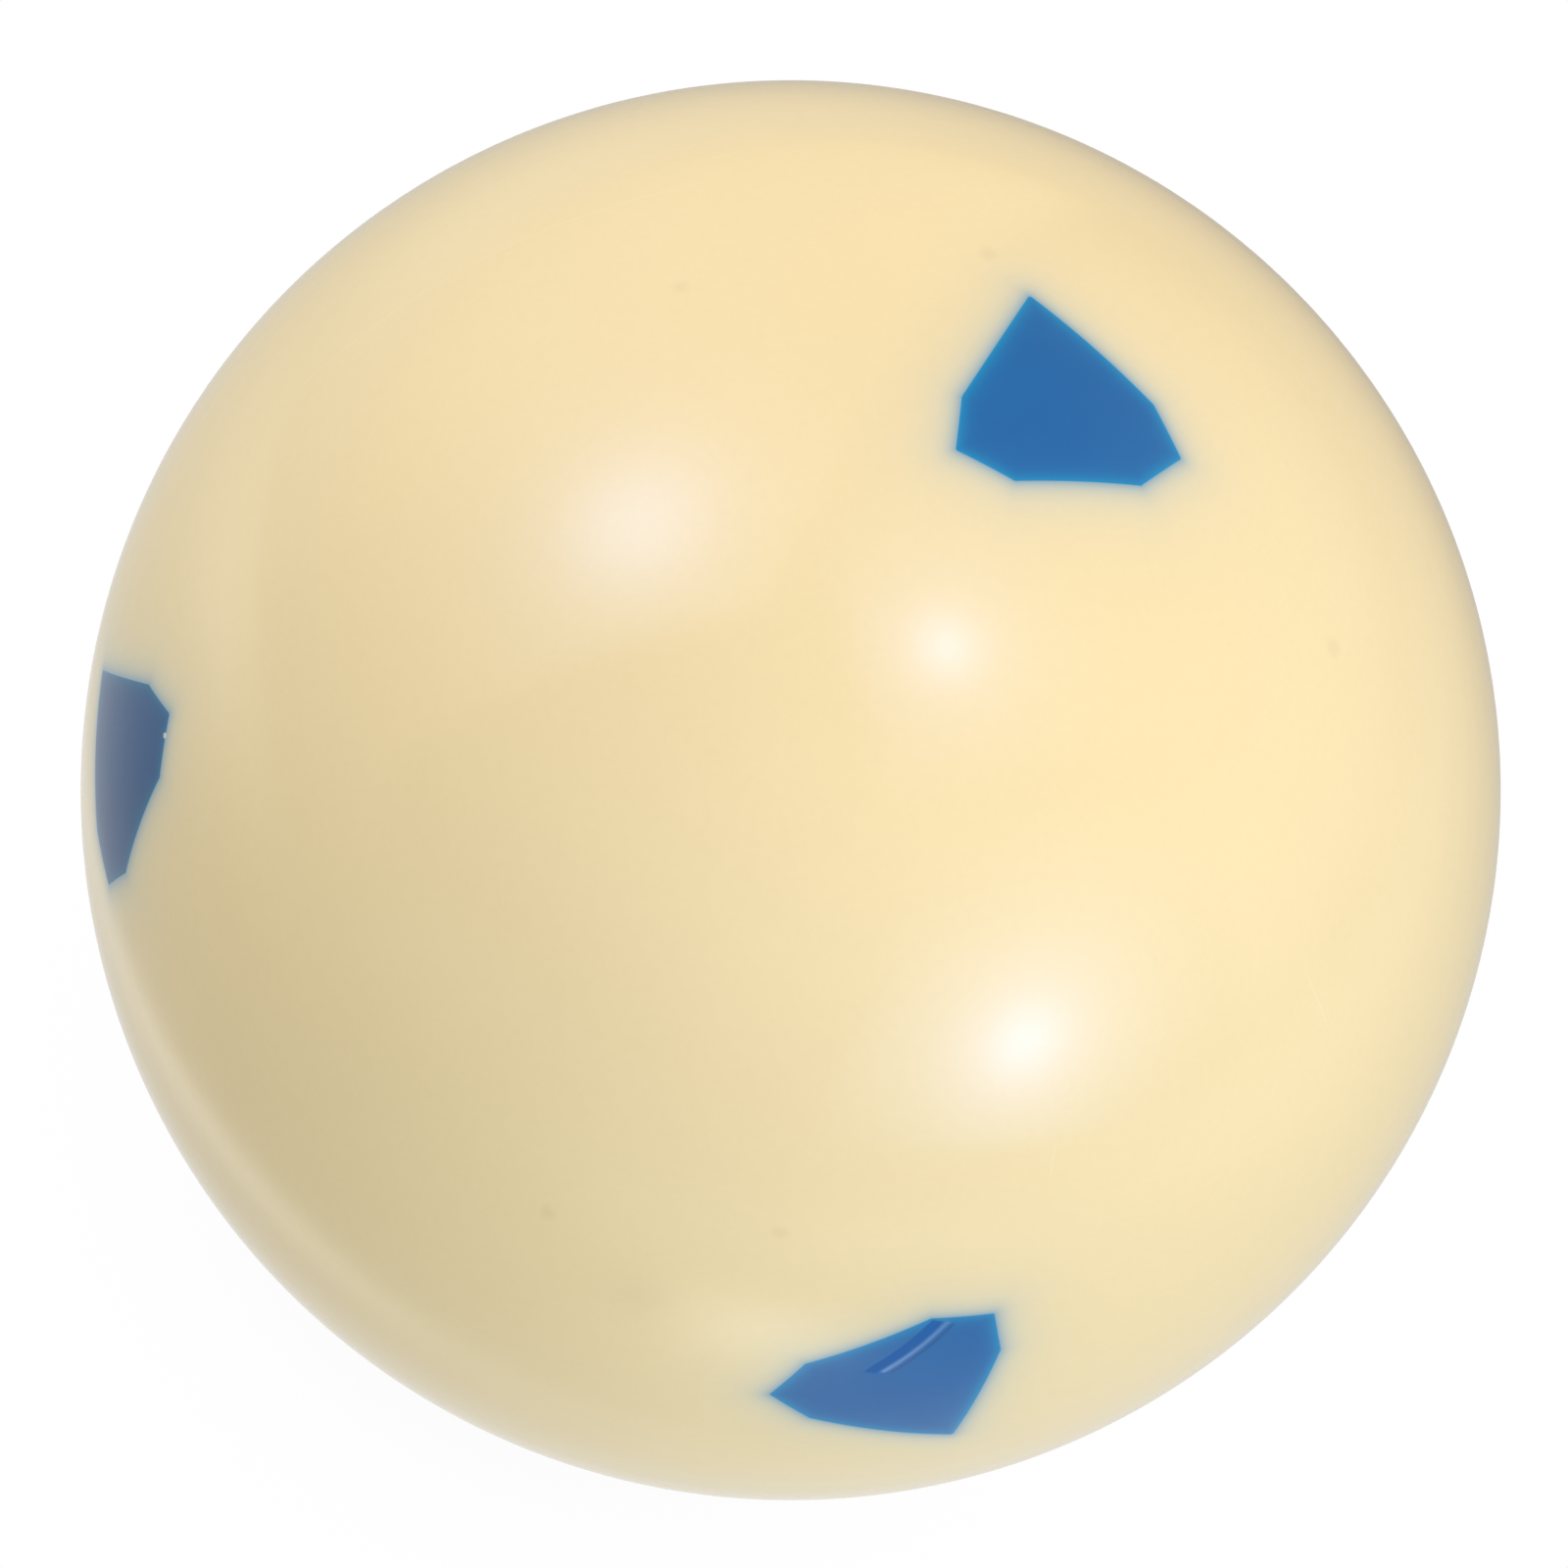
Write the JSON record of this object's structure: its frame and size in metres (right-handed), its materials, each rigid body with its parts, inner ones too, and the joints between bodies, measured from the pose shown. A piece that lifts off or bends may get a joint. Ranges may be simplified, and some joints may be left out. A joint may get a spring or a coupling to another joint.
{
  "type": "cue ball",
  "caption": "Solid cream cue ball for pool, with blue seven-sided spots cast into its surface on its three axes so that its spin can be seen.",
  "frame": {"origin": "centre of the ball", "axes": "+Z out through the top spot, -Y out through the front spot, -X out through the left spot"},
  "size_m": [0.0572, 0.0572, 0.0572],
  "materials": {
    "cream_resin": "polished cast resin, warm cream",
    "blue_resin": "polished cast resin, medium blue"
  },
  "bodies": {
    "root": {"ball_body": "cream_resin", "spot_top": "blue_resin", "spot_bottom": "blue_resin", "spot_front": "blue_resin", "spot_back": "blue_resin", "spot_left": "blue_resin", "spot_right": "blue_resin"}
  },
  "joints": []
}
